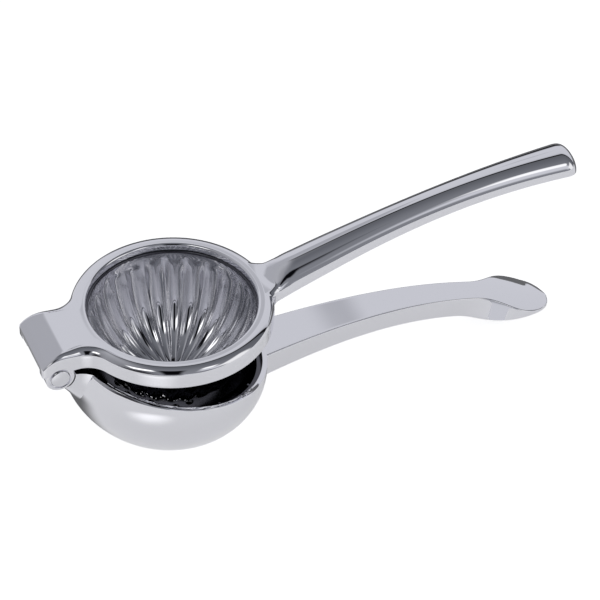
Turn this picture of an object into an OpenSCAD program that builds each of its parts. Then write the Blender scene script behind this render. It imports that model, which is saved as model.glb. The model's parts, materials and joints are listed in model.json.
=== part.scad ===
// Hinged lemon squeezer: two polished levers on one hinge pin.
// A fluted press cup hangs in the ring of the upper lever and swings down into the
// strainer cup that lines the bowl of the lower lever. Sizes are in millimetres.
// Each lever is drawn closed, with the parting plane at z = 0 and the bowl's middle near
// x = 0. It is then opened about the hinge and laid down on the bowl's flat and handle tip.

/* [Press ring] */
// Radius of the inner edge of the ring's flat top
ring_r = 31; // [30:0.5:34]
// Width of the ring, from that edge to the outer wall
ring_w = 5; // [4.6:0.1:7]
// Height of the ring
ring_h = 8.3; // [7.5:0.1:11]
// Width of the rounded shoulder at the outer edge
shoulder_w = 3.5; // [1:0.1:4]
// Height of the rounded shoulder
shoulder_h = 3; // [1:0.1:4]
// Radius of the rounded inner lip
lip_r = 1; // [0.4:0.1:1.4]
// Thickness of the lip that the press cup hangs under
lip_t = 2.8; // [2:0.1:3.5]

/* [Hinge] */
// Distance from the bowl's middle to the hinge axis
hinge_x = 46; // [45:0.1:52]
// Depth of the hinge axis below the parting plane
hinge_drop = 1.8; // [0.5:0.1:2.5]
// Width over the two ears
hinge_w = 25.8; // [23:0.2:32]
// Thickness of each ear
ear_t = 3.6; // [3:0.1:5]
// Radius of the ears' round lobes
ear_r = 5.2; // [5:0.1:6.5]
// How far the hood reaches past the hinge axis
hood_reach = 6.3; // [5:0.1:7]
// How far the hood curves down at its end
hood_drop = 4.5; // [3.5:0.1:5]
// Radius of the concave fillets between ring and hinge
neck_fillet = 9; // [6:0.5:12]
// Radius of the hinge pin
pin_r = 2.8; // [2.4:0.1:3.2]
// Radius of the pin's flat head
head_r = 3.9; // [3.6:0.1:4.4]
// Thickness of the pin's head
head_t = 1.2; // [0.8:0.1:1.6]
// Outer radius of the knuckle that turns on the pin
knuckle_r = 4.6; // [4.4:0.1:5]
// Thickness of the two spacer washers
washer_t = 0.6; // [0.4:0.1:1]

/* [Press cup] */
// Number of flutes
flutes = 24; // [16:1:30]
// Depth of a flute
flute_depth = 1.3; // [0.6:0.1:1.8]
// Thickness of the pressed sheet of both cups
sheet_t = 1.2; // [0.8:0.1:1.6]
// Depth of the cup's inside below its flange
cup_depth = 32; // [26:0.5:33]

/* [Bowl] */
// Largest outer radius of the bowl
bowl_r = 37.3; // [36.8:0.1:40]
// Height of the bowl's rounded lower part
bowl_depth = 30.3; // [30:0.1:36]
// Depth of the bowl's widest line below its rim
bowl_widest = 6.3; // [4:0.1:9]
// How far the bowl's middle lies towards the hinge
bowl_shift = 1; // [0:0.1:1.5]
// Wall of the bowl
bowl_wall = 1.8; // [1.4:0.1:2.4]
// Gap between the strainer cup and the bowl
juice_gap = 1; // [0.5:0.1:1.5]
// Radius of the flat that the bowl stands on
foot_r = 10; // [7:0.5:12]
// Radius of the drain holes in the bowl
drain_r = 2.2; // [1.5:0.1:2.6]
// Radius of the holes in the strainer cup
strain_r = 1.4; // [1:0.1:1.8]

/* [Press handle] */
// Distance from the ring's middle to the handle's tip
press_reach = 155; // [135:1:175]
// Height of the handle's underside at the tip, above the parting plane
press_rise = 24.6; // [20:0.2:30]
// Slope of the handle where it leaves the ring
press_root_slope = 18.8; // [14:0.2:22]
// Slope of the handle at its tip, downwards
press_tip_slope = 0.5; // [0:0.1:6]
// Half widths at root, middle and tip
press_half_w = [9.1, 6.4, 8.3]; // [5:0.1:12]
// Heights at root, middle and tip
press_h = [9.9, 7.4, 7.6]; // [6:0.1:12]
// How far the handle widens where it meets the ring
root_flare = 4; // [0:0.1:6]

/* [Bowl handle] */
// Distance from the bowl's middle to the handle's tip
bowl_reach = 153; // [135:0.5:175]
// Height of the handle's top at the tip, above the parting plane
bowl_tip_z = 10; // [6:0.2:16]
// Slope of the handle where it leaves the bowl
bowl_root_slope = 21; // [16:0.2:26]
// Slope of the handle at its tip, downwards
bowl_tip_slope = 13; // [8:0.2:18]
// Half widths of the top face at root, waist and tip
bowl_half_w = [9.7, 5.8, 5]; // [4:0.1:12]
// Depths of the skirt at root, waist and tip
bowl_skirt = [10.5, 7.9, 1.4]; // [1:0.1:13]
// Half width of the spatula at the tip
spatula_w = 11; // [9:0.1:13]
// Thickness of the handle's walls
channel_t = 2.2; // [1.6:0.1:3]

/* [Pose] */
// Opening between the two levers at rest
open_angle = 14; // [8:1:40]

/* [Hidden] */
$fn = 96;

polished = [0.80, 0.81, 0.83];
pressed = [0.62, 0.63, 0.66];
turned = [0.72, 0.73, 0.75];

// Clearances
half_gap = 0.15;        // each rim stays this far from the parting plane
seat_gap = 0.05;        // between pieces of one lever that are welded or pressed together
run_gap = 0.05;         // round the turning pin
ear_gap = 0.3;          // between the two levers at the hinge

edge_r = 0.6;           // bevel of the ring's lower edge and round of the hood's corners
head_proud = 0.3;       // how far the pin's head and collar stand out of the ears
overcut = 1;            // how far a cutting solid reaches past what it cuts

outer_r = ring_r + ring_w;
tab_w = hinge_w / 2;
tab_x = hinge_x + hood_reach;
hood_start = hinge_x - hood_reach / 2;
hood_arc_r = (pow(tab_x - hood_start, 2) + hood_drop * hood_drop) / (2 * hood_drop);
hood_end_t = 1.8;                           // height of the hollow under the hood's end
hood_square = 0.7;                          // how much of the shoulder the hood's end loses
ear_in = tab_w - ear_t;                     // inner face of an ear
knuckle_half = ear_in - washer_t - 2 * seat_gap;
ear_lean = sqrt(ear_r * ear_r - pow(hinge_drop + half_gap, 2)); // ear's reach at the parting plane
hinge_room = 2 * hood_reach;

// Press cup, hung under the lip
cup_top = ring_h - lip_t - seat_gap;
flange_t = 1.5;
cup_bore_r = ring_r + 0.6;                  // recess under the lip
lip_in_r = ring_r - lip_r * 0.8;            // narrowest radius of the ring
cup_in_r = lip_in_r - 0.6;                  // inside radius over the flutes' troughs
cup_levels = 11;
cup_pole_q = 88;                            // level of the small flat at the cup's bottom
cup_flat_r = 0.6;
flute_points = 4;

// Bowl and strainer, both bodies of revolution about the bowl's own axis
bowl_in_r = bowl_r - bowl_wall;
bowl_in_depth = bowl_depth - bowl_wall;
bowl_zc = -bowl_widest;
strain_out_r = bowl_in_r - juice_gap;
strain_out_depth = bowl_in_depth - juice_gap;
seat_z = -2.2;                              // top of the strainer's rim
seat_t = 1.6;
rib_h = 0.9;
rib_t = 0.8;
rib_count = flutes / 2;
drain_pitch = 7;
strain_pitch = 5.2;
rib_from = 3 * strain_pitch + strain_r + 1; // the ribs start outside the holes

handle_sink = 4;                            // how far the press handle starts inside the ring
press_root_z = 0.6;                         // height of its underside there
root_dip = 2.6;                             // how much lower it is there than further out
bowl_root_x = 29;                           // start of the bowl handle's top
bowl_root_z = -4;
crease_r = 0.2;                             // round of the bowl handle's long edges
neck_depth = 26;                            // where the neck's underside meets the bowl
neck_spread = 21;                           // half width of the neck at the rim

// Where the squeezer lies: on the bowl's flat and on the end of the bowl handle
// Depth of the cut that makes the flat, from the sagitta of the bowl's underside
foot_cut = foot_r * foot_r * bowl_depth / (2 * bowl_r * bowl_r);
tip_stations = [0.9, 0.93, 0.955, 0.975, 0.99, 1];
// Height of the two supports over a floor that is tilted by t
function bowl_low(t) = bowl_shift * sin(t) + bowl_zc * cos(t) + foot_cut
    - sqrt(pow(bowl_r * sin(t), 2) + pow(bowl_depth * cos(t), 2));
function tip_low(t) = min([for (u = tip_stations)
    let (q = bowl_section(u)[0]) -q[0] * sin(t) + q[2] * cos(t)]);
function find_tilt(lo, hi, n) = n == 0 ? (lo + hi) / 2
    : tip_low((lo + hi) / 2) > bowl_low((lo + hi) / 2)
        ? find_tilt((lo + hi) / 2, hi, n - 1) : find_tilt(lo, (lo + hi) / 2, n - 1);
rest_tilt = find_tilt(5, 30, 30);
floor_z = bowl_low(rest_tilt);
// Middle of the flat along x, where the tilted bowl is lowest
foot_x = -bowl_shift * cos(rest_tilt) + bowl_zc * sin(rest_tilt)
    + (bowl_r * bowl_r - bowl_depth * bowl_depth) * sin(rest_tilt) * cos(rest_tilt)
    / sqrt(pow(bowl_r * sin(rest_tilt), 2) + pow(bowl_depth * cos(rest_tilt), 2));

// Value at t of the parabola through a, m and b at 0, 0.5 and 1
function through(v, t) = v[0] * (1 - t) * (1 - 2 * t) + 4 * v[1] * t * (1 - t)
    + v[2] * t * (2 * t - 1);
// Smooth step from 0 to 1 as t goes from a to b
function ease(a, b, t) = let (u = min(1, max(0, (t - a) / (b - a)))) u * u * (3 - 2 * u);

// Point on a side curve that leaves p at slope sp and reaches q with downward slope sq
function side_curve(p, sp, q, sq, t) =
    let (k = 0.36 * (q[0] - p[0]),
         a = [p[0] + k, p[1] + k * tan(sp)],
         b = [q[0] - k, q[1] + k * tan(sq)])
    pow(1 - t, 3) * p + 3 * pow(1 - t, 2) * t * a + 3 * (1 - t) * t * t * b + pow(t, 3) * q;

// Closed skin through rings of points. Its ends are strips between each point and the one
// as far from the other end of the ring, so a ring runs from side to side or out and back.
module loft(rings) {
    n = len(rings[0]);
    last = (len(rings) - 1) * n;
    sides = [for (j = [0:len(rings) - 2]) for (i = [0:n - 1])
        let (a = j * n + i, b = j * n + (i + 1) % n) each [[a, b, b + n], [a, b + n, a + n]]];
    strips = [for (i = [0:n / 2 - 1])
        let (j = n - 1 - i) each [[i, j, j - 1], [i, j - 1, i + 1]]];
    start = [for (f = strips) if (f[0] != f[1] && f[1] != f[2] && f[0] != f[2]) f];
    finish = [for (f = start) [last + f[2], last + f[1], last + f[0]]];
    polyhedron([for (r = rings) each r], concat(sides, start, finish));
}

// Plan outline of a lever's head, drawn in by d: a circle, two concave fillets and a tab.
// The first half of the points runs along +y, from the handle side to the tab's end.
function half_outline(r, w, xe, d) =
    let (rf = neck_fillet + d, cy = w - d + rf,
         cx = -sqrt(pow(r - d + rf, 2) - cy * cy),
         turn = atan2(cy, cx), rc = edge_r)
    concat([for (i = [0:26]) (r - d) * [cos(turn * (i + 0.5) / 26.5), sin(turn * (i + 0.5) / 26.5)]],
           [for (i = [1:7]) let (a = turn - 180 + (90 - turn) * i / 7) [cx, cy] + rf * [cos(a), sin(a)]],
           [for (i = [0:3]) [-xe + rc, w - d - rc] + rc * [cos(90 + 30 * i), sin(90 + 30 * i)]]);
function outline(r, w, xe, d) =
    let (h = half_outline(r, w, xe, d))
    concat(h, [for (i = [len(h) - 1:-1:0]) [h[i][0], -h[i][1]]]);

// How far the hood has curved down at x
function hood_fall(x) = x > -hood_start ? 0
    : hood_arc_r - sqrt(pow(hood_arc_r, 2) - pow(x + hood_start, 2));

// Point p of the outline at height z and inset d. The shoulder narrows towards the hood's
// end, which leaves the hood a crisp edge.
function head_point(p, z, d) =
    let (s = z > ring_h / 2 ? hood_square * ease(hood_reach - hood_start, -tab_x, p[0]) : 0,
         top = z + (ring_h - z) * s)
    [p[0], p[1] * (1 + s * d / (tab_w - d)), top - hood_fall(p[0]) * max(0, top) / ring_h];

// Slab through levels of the head's outline, from the top one down
module head_slab(levels) {
    loft([for (l = levels) [for (p = outline(outer_r, tab_w, tab_x, l[1])) head_point(p, l[0], l[1])]]);
}

// Cylinder across the levers on the hinge axis, from y0 to y1
module across(r, y0, y1) {
    translate([-hinge_x, y1, -hinge_drop]) rotate([90, 0, 0]) cylinder(r = r, h = y1 - y0);
}

// Lays the lower lever down as it rests
module laid_down() {
    translate([-foot_x, 0, -floor_z]) rotate([0, rest_tilt, 0]) children();
}

// Opens the upper lever about the hinge, then lays it down with the lower one
module opened() {
    laid_down()
        translate([-hinge_x, 0, -hinge_drop]) rotate([0, -open_angle, 0])
            translate([hinge_x, 0, hinge_drop]) children();
}

// Inside of the ring: wide recess below, lip with a rounded edge above
module ring_bore() {
    rotate_extrude() polygon(concat(
        [[0, -overcut], [cup_bore_r, -overcut], [cup_bore_r, ring_h - lip_t],
         [lip_in_r, ring_h - lip_t]],
        [for (a = [0:15:90]) [lip_in_r + lip_r * (1 - cos(a)), ring_h - lip_r + lip_r * sin(a)]],
        [[lip_in_r + lip_r, ring_h + overcut], [0, ring_h + overcut]]));
}

// Upper lever's ring with its neck, the hood over the hinge and the two ears
module press_ring() {
    shoulder_z = ring_h - shoulder_h;
    color(polished) opened() difference() {
        union() {
            head_slab(concat(
                [for (a = [90:-18:0]) [shoulder_z + shoulder_h * sin(a), shoulder_w * (1 - cos(a))]],
                [[half_gap + edge_r, 0], [half_gap, edge_r]]));
            for (y = [-tab_w, ear_in]) {
                across(ear_r, y, y + ear_t);
                translate([-hinge_x - hood_reach / 2, y, -hinge_drop])
                    cube([hood_reach / 2 + ear_lean, ear_t, hinge_drop + ring_h / 4]);
            }
        }
        ring_bore();
        // Room for the knuckle between the ears, and a hollow under the hood
        across(knuckle_r + ear_gap, -ear_in, ear_in);
        translate([-hinge_x, -ear_in, -hinge_room])
            cube([4 / 3 * knuckle_r, 2 * ear_in, hinge_room + half_gap + edge_r]);
        translate([-hinge_x - hinge_room, -ear_in, -hinge_room])
            cube([hinge_room, 2 * ear_in, hinge_room + hood_end_t]);
        // Pin hole, and recesses for the pin's head and for the collar
        across(pin_r + seat_gap, -tab_w - overcut, tab_w + overcut);
        across(head_r + ear_gap, -tab_w - overcut, -tab_w + head_t - head_proud);
        across(head_r + ear_gap, tab_w - head_t + head_proud, tab_w + overcut);
    }
}

// Rings of a curved handle with a domed top, a flat underside and a round end
function press_section(t) =
    let (p = side_curve([outer_r - handle_sink, press_root_z], press_root_slope,
                        [press_reach, press_rise], press_tip_slope, t),
         end = sqrt(max(0.0004, 1 - pow(ease(0.93, 1, t), 2))),
         flare = root_flare * pow(max(0, 1 - t / 0.1), 2),
         w = (through(press_half_w, t) + flare) * (0.55 + 0.45 * end),
         h = (through(press_h, t) - root_dip * (1 - ease(0, 0.1, t))) * (0.35 + 0.65 * end))
    [for (a = [0:15:180]) [p[0], w * cos(a), p[1] + h * pow(sin(a), 0.85)]];

module press_handle() {
    stations = concat([0, 0.018, 0.036, 0.054, 0.072, 0.09], [for (i = [3:24]) i / 24 * 0.93],
                      [0.95, 0.965, 0.98, 0.99, 1]);
    color(polished) opened() difference() {
        loft([for (t = stations) press_section(t)]);
        // Saddle that fits the ring's wall and shoulder
        rotate_extrude() polygon(concat([[0, -overcut], [outer_r + seat_gap, -overcut]],
            [for (a = [0:15:90]) [outer_r + seat_gap - shoulder_w * (1 - cos(a)),
                                  ring_h - shoulder_h + (shoulder_h + seat_gap) * sin(a)]],
            [[0, ring_h + seat_gap]]));
    }
}

// Radius of the fluted cup at bearing a and level q, where q is 0 at the top and 90 at the pole
function flute_wave(a) = let (u = a * flutes / 360, f = 2 * (u - floor(u)) - 1) 1 - f * f;
function flute_fade(q) = ease(0, 8, q) * ease(90, 62, q);
function cup_r(q, a, out) =
    (cup_in_r - flute_depth) * cos(q) + out + flute_depth * ease(14, 0, q)
    + flute_depth * flute_fade(q) * flute_wave(a) * (1 - 0.9 * ease(14, 0, q));

module press_cup() {
    around = flutes * flute_points;
    base_z = cup_top - flange_t;
    function cup_ring(q, out) = [for (i = [0:around - 1]) let (a = 360 * i / around)
        let (r = max(cup_flat_r, cup_r(q, a, out))) [r * cos(a), r * sin(a),
         base_z - (cup_depth + out) * sin(q)]];
    function flat_ring(r, z) = [for (i = [0:around - 1]) let (a = 360 * i / around)
        [r * cos(a), r * sin(a), z]];
    levels = [for (i = [0:cup_levels]) cup_pole_q * i / cup_levels];
    color(pressed) opened() loft(concat(
        [for (i = [cup_levels:-1:0]) cup_ring(levels[i], sheet_t)],
        [flat_ring(cup_bore_r - seat_gap, base_z), flat_ring(cup_bore_r - seat_gap, cup_top),
         flat_ring(cup_in_r, cup_top)],
        [for (i = [0:cup_levels]) cup_ring(levels[i], 0)]));
}

// Half section of the bowl's ellipse, from level z_top down to the pole
function bowl_profile(r, depth, z_top) =
    let (start = -asin((z_top - bowl_zc) / depth))
    [for (i = [0:20]) let (a = start + (90 - start) * i / 20) [r * cos(a), bowl_zc - depth * sin(a)]];

module bowl_solid(r, depth, z_top) {
    translate([-bowl_shift, 0, 0]) rotate_extrude()
        polygon(concat([[0, z_top]], bowl_profile(r, depth, z_top)));
}

// Rings of holes about the bowl's axis
module drain_pattern(r, rings, pitch) {
    translate([-bowl_shift, 0, bowl_zc - 1.1 * bowl_depth]) {
        cylinder(r = r, h = bowl_depth);
        for (k = [1:rings], i = [0:6 * k - 1])
            rotate([0, 0, 60 * i / k]) translate([pitch * k, 0, 0]) cylinder(r = r, h = bowl_depth);
    }
}

module bowl_shell() {
    rim_z = -half_gap;
    side_in = knuckle_half + seat_gap;
    side_w = tab_w + overcut - side_in;
    color(polished) laid_down() difference() {
        union() {
            bowl_solid(bowl_r, bowl_depth, rim_z);
            // Neck: the head's plan outline, with an underside that slopes into the bowl and
            // flanks that draw in with depth
            intersection() {
                translate([0, 0, rim_z - neck_depth]) linear_extrude(height = neck_depth)
                    polygon(outline(outer_r, tab_w, tab_x, 0));
                translate([-hinge_x, outer_r, 0]) rotate([90, 0, 0])
                    linear_extrude(height = 2 * outer_r)
                    polygon([[-hood_reach, rim_z], [-hood_reach, -hinge_drop - 0.6 * knuckle_r],
                             [0, -hinge_drop - 0.9 * knuckle_r],
                             [0.2 * neck_depth, -0.4 * neck_depth],
                             [0.46 * neck_depth, -0.7 * neck_depth],
                             [neck_depth, rim_z - neck_depth], [neck_depth, rim_z]]);
                translate([-tab_x, 0, rim_z]) rotate([90, 0, 90])
                    linear_extrude(height = hood_reach + neck_depth)
                    polygon([for (a = [180:7.5:360]) [neck_spread * cos(a), neck_depth * sin(a)]]);
            }
        }
        bowl_solid(bowl_in_r, bowl_in_depth, rim_z + 2 * seat_gap);
        // Saddle for the knuckle, and room for the washers and the ears
        across(knuckle_r + seat_gap, -side_in, side_in);
        translate([-hinge_x - hinge_room, -tab_w, -hinge_room])
            cube([hinge_room, hinge_w, 2 * hinge_room]);
        for (y = [-tab_w - overcut, side_in]) {
            across(ear_r + ear_gap, y, y + side_w);
            translate([-hinge_x - hinge_room, y, -hinge_drop - neck_depth])
                cube([hinge_room + ear_r / 2, side_w, neck_depth]);
        }
        drain_pattern(drain_r, 2, drain_pitch);
        // Flat that the squeezer stands on
        rotate([0, -rest_tilt, 0]) translate([-2 * bowl_r, -2 * bowl_r, floor_z - bowl_r])
            cube([4 * bowl_r, 4 * bowl_r, bowl_r]);
    }
}

// Perforated liner with upright ribs, which hangs by its rim in the bowl
module strainer_cup() {
    out_r = strain_out_r;
    in_r = out_r - sheet_t;
    in_depth = strain_out_depth - sheet_t;
    rim_r = bowl_in_r * cos(asin((seat_z - bowl_zc) / bowl_in_depth)) - 2 * seat_gap;
    color(pressed) laid_down() difference() {
        union() {
            bowl_solid(out_r, strain_out_depth, seat_z);
            translate([-bowl_shift, 0, seat_z - seat_t]) cylinder(r = rim_r, h = seat_t);
        }
        difference() {
            bowl_solid(in_r, in_depth, seat_z + 2 * seat_gap);
            for (i = [0:rib_count - 1])
                translate([-bowl_shift, 0, 0]) rotate([0, 0, (i + 0.5) * 360 / rib_count])
                    difference() {
                        translate([rib_from, -rib_t / 2, bowl_zc - in_depth])
                            cube([in_r - rib_from, rib_t, in_depth]);
                        translate([bowl_shift, 0, 0])
                            bowl_solid(in_r - rib_h, in_depth - rib_h, 0);
                    }
        }
        drain_pattern(strain_r, 3, strain_pitch);
    }
}

// Rings of the lower handle: an inverted channel whose skirt opens into a flat round tip
function spread(t) = ease(0.68, 0.87, t);
function skirt_end(t) = ease(0.74, 1, t);
function bowl_section(t) =
    let (p = side_curve([bowl_root_x, bowl_root_z], bowl_root_slope,
                        [bowl_reach, bowl_tip_z], bowl_tip_slope, t),
         near_tip = sqrt(max(0.0025, 1 - pow(max(0, (t - 0.87) / 0.13), 2.2))),
         top_w = through(bowl_half_w, t),
         a = top_w * near_tip,
         b = ((top_w + crease_r) * (1 - spread(t)) + spatula_w * spread(t)) * near_tip,
         waist = bowl_skirt[1],
         deep = through([bowl_skirt[0], 0.97 * waist, 1.28 * waist], min(t, 0.8)),
         h = deep * (1 - skirt_end(t)) + bowl_skirt[2] * skirt_end(t),
         th = min(channel_t, h * 0.6),
         wall = min(channel_t, b * 0.4, a * 0.5))
    let (outer = [[b, h], [a + 0.25 * (b - a), 0.16 * h + crease_r],
                  [a - 2 * crease_r * near_tip, 0]],
         roof = max(a - wall, 0.3 * a),
         inner = [[b - wall, h], [roof + 0.2 * (b - wall - roof), th + 0.2 * (h - th)], [roof, th]],
         flip = [2, 1, 0])
    concat([for (q = outer) [p[0], q[0], p[1] - q[1]]],
           [for (k = flip) [p[0], -outer[k][0], p[1] - outer[k][1]]],
           [for (q = inner) [p[0], -q[0], p[1] - q[1]]],
           [for (k = flip) [p[0], inner[k][0], p[1] - inner[k][1]]]);

module bowl_handle() {
    stations = concat([for (i = [0:26]) i / 26 * 0.87], tip_stations);
    color(polished) laid_down() difference() {
        loft([for (t = stations) bowl_section(t)]);
        // Saddle that fits the bowl
        bowl_solid(bowl_r + 2 * seat_gap, bowl_depth + 2 * seat_gap, outer_r / 3);
    }
}

// Turned sleeve, welded to the bowl's neck, that turns on the pin
module hinge_knuckle() {
    color(turned) laid_down() difference() {
        across(knuckle_r, -knuckle_half, knuckle_half);
        across(pin_r + run_gap, -knuckle_half - overcut, knuckle_half + overcut);
    }
}

// Pin with a flat head, pressed through both ears
module hinge_pin() {
    color(turned) opened() {
        across(pin_r, -tab_w, tab_w + head_proud);
        across(head_r, -tab_w - head_proud, -tab_w + head_t - head_proud);
    }
}

// Collar that locks the pin's other end
module pin_collar() {
    color(turned) opened() difference() {
        across(head_r, tab_w - head_t + head_proud, tab_w + head_proud);
        across(pin_r, tab_w - head_t, tab_w + overcut);
    }
}

// A thin washer between the knuckle and each ear
module spacer_washers() {
    color(turned) opened() for (y = [-ear_in + seat_gap, ear_in - seat_gap - washer_t])
        difference() {
            across(knuckle_r - ear_gap, y, y + washer_t);
            across(pin_r + run_gap, y - overcut, y + washer_t + overcut);
        }
}

press_ring();
press_handle();
press_cup();
bowl_shell();
strainer_cup();
bowl_handle();
hinge_knuckle();
hinge_pin();
pin_collar();
spacer_washers();
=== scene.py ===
"""Hinged lemon squeezer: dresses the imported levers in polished, drawn and turned stainless steel."""

import json
import math
from types import SimpleNamespace

import bmesh
import bpy
import numpy as np
from bpy.props import FloatProperty, FloatVectorProperty, IntProperty, PointerProperty
from mathutils import Matrix, Vector


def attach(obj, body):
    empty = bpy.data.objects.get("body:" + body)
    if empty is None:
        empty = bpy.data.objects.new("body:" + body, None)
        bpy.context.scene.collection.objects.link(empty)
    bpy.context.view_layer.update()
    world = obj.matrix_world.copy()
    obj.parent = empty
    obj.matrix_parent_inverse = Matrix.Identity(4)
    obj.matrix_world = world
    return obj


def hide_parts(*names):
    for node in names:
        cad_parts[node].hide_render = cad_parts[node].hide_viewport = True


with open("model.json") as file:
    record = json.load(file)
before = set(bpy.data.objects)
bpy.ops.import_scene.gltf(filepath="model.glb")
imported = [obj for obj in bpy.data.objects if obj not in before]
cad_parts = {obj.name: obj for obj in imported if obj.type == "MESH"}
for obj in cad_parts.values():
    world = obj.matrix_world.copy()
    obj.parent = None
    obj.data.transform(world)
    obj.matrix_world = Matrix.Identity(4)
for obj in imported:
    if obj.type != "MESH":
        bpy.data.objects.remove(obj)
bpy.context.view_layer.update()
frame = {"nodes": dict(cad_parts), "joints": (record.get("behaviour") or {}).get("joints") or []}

bl_info = {
    "name": "Hinged Lemon Squeezer",
    "version": (1, 0, 0),
    "blender": (4, 5, 0),
    "location": "View3D > Sidebar > Squeezer",
    "description": "Builds a two-lever lemon squeezer with a fluted press cup and a lined bowl",
    "category": "Object",
}

# Every piece is drawn in millimetres with the levers closed and level, where the parting plane
# is z = 0 and the hinge axis passes through HINGE. At rest the lower lever is tilted, the axis
# passes through REST_HINGE, and the upper lever is opened further.
HINGE = np.array([-46.0, 0.0, -1.8])
REST_HINGE = np.array(frame["joints"][0]["pos_m"]) * 1000
REST_TILT = 16.6484
# The ring's axis is x = 0, and the bowl's lies a little nearer the hinge
BOWL_X = -1.0
ROUND_STEPS = 192


# ---------------------------------------------------------------- shape helpers, in millimetres

def turned(points, degrees):
    """Points turned about the Y axis, as the CAD turns them."""
    angle = math.radians(degrees)
    c, s = math.cos(angle), math.sin(angle)
    return np.asarray(points, float) @ np.array([[c, 0, -s], [0, 1, 0], [s, 0, c]])


def lower(points):
    """From where the lower lever is drawn to where it lies."""
    return turned(np.asarray(points, float) - HINGE, REST_TILT) + REST_HINGE


def upper(points):
    """From where the upper lever is drawn to where it lies opened."""
    opened = turned(np.asarray(points, float) - HINGE, -bpy.context.scene.squeezer_sizes.open_angle)
    return turned(opened, REST_TILT) + REST_HINGE


def as_drawn(point, open_angle=0.0):
    """From a point of a finished mesh, in metres, back to where it was drawn."""
    return turned(np.array(point) * 1000 - REST_HINGE, open_angle - REST_TILT) + HINGE


def ease(a, b, t):
    """0 at a and 1 at b, with a soft start and end."""
    u = np.clip((t - a) / (b - a), 0, 1)
    return u * u * (3 - 2 * u)


def through(v, t):
    """Value at t of the parabola through three values at 0, 0.5 and 1."""
    return v[0] * (1 - t) * (1 - 2 * t) + 4 * v[1] * t * (1 - t) + v[2] * t * (2 * t - 1)


def side_curve(p, p_slope, q, q_slope, t):
    """Point (x, z) of a side curve that leaves p rising and reaches q falling, at these slopes in
    degrees."""
    pull = 0.36 * (q[0] - p[0])
    a = (p[0] + pull, p[1] + pull * math.tan(math.radians(p_slope)))
    b = (q[0] - pull, q[1] + pull * math.tan(math.radians(q_slope)))
    w = ((1 - t) ** 3, 3 * (1 - t) ** 2 * t, 3 * (1 - t) * t * t, t ** 3)
    return [w[0] * p[i] + w[1] * a[i] + w[2] * b[i] + w[3] * q[i] for i in (0, 1)]


def skin(rows, round_rows=False, caps=False):
    """Vertices and faces of a closed skin through rows of points. Each row is a closed ring."""
    rows = np.asarray(rows, float)
    n, m = rows.shape[:2]
    j, i = np.meshgrid(np.arange(n if round_rows else n - 1), np.arange(m), indexing="ij")
    k, h = (j + 1) % n, (i + 1) % m
    faces = np.stack([j * m + i, j * m + h, k * m + h, k * m + i], -1).reshape(-1, 4).tolist()
    if caps:
        faces.append(list(range(m))[::-1])
        faces.append(list(range((n - 1) * m, n * m)))
    return rows.reshape(-1, 3), faces


def lathe(profile, steps=ROUND_STEPS, middle=(0, 0, 0)):
    """Closed skin of a half section (radius, z) turned about the Z axis. The section starts and
    ends on the axis, or is a loop."""
    profile = np.asarray(profile, float)
    a = np.linspace(0, 2 * math.pi, steps, endpoint=False)
    rows = np.stack([np.outer(np.cos(a), profile[:, 0]), np.outer(np.sin(a), profile[:, 0]),
                     np.tile(profile[:, 1], (steps, 1))], -1) + np.asarray(middle, float)
    return skin(rows, round_rows=True)


def across(profile):
    """Skin of a turned form that lies across the levers, on the hinge axis. Its half section is
    (radius, y)."""
    points, faces = lathe(profile, 96)
    return points[:, [0, 2, 1]] * [1, 1, -1] + [HINGE[0], 0, HINGE[2]], faces


def rod(radius, y0, y1, bevel=0.0):
    """Skin of a round bar on the hinge axis from y0 to y1, with its edges rounded by bevel."""
    if not bevel:
        return across([(0, y0), (radius, y0), (radius, y1), (0, y1)])
    arc = np.radians(np.linspace(0, 90, 6))
    near = [(radius - bevel + bevel * math.sin(a), y0 + bevel - bevel * math.cos(a)) for a in arc]
    far = [(r, y0 + y1 - y) for r, y in near[::-1]]
    return across([(0, y0)] + near + far + [(0, y1)])


def button(radius, y0, y1, chamfer):
    """Skin of a flat head on the hinge axis. Its outer face, at y0, has a chamfer with soft edges."""
    soft = 0.08
    inward = 1 if y1 > y0 else -1
    return across([(0, y0), (radius - chamfer - soft, y0),
                   (radius - chamfer, y0 + inward * 0.3 * soft),
                   (radius - 0.3 * soft, y0 + inward * chamfer),
                   (radius, y0 + inward * (chamfer + soft)), (radius, y1), (0, y1)])


def block(x0, x1, y0, y1, z0, z1):
    """Skin of a plain cutting block between these planes."""
    points = np.array([[x, y, z] for x in (x0, x1) for y in (y0, y1) for z in (z0, z1)], float)
    return points, [[0, 1, 3, 2], [4, 6, 7, 5], [0, 4, 5, 1], [2, 3, 7, 6], [0, 2, 6, 4], [1, 5, 7, 3]]


def solid(name, skins, place):
    """A mesh object of one or more skins, in metres, with doubles merged and normals outward."""
    points, faces, start = [], [], 0
    for skin_points, skin_faces in skins:
        points.append(skin_points)
        faces += [[v + start for v in face] for face in skin_faces]
        start += len(skin_points)
    mesh = bpy.data.meshes.new(name)
    mesh.from_pydata((place(np.concatenate(points)) / 1000).tolist(), [], faces)
    bm = bmesh.new()
    bm.from_mesh(mesh)
    bmesh.ops.remove_doubles(bm, verts=bm.verts, dist=2e-6)
    bmesh.ops.dissolve_degenerate(bm, edges=bm.edges, dist=1e-7)
    bmesh.ops.recalc_face_normals(bm, faces=bm.faces)
    bm.to_mesh(mesh)
    bm.free()
    obj = bpy.data.objects.new(name, mesh)
    bpy.context.scene.collection.objects.link(obj)
    return obj


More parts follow.
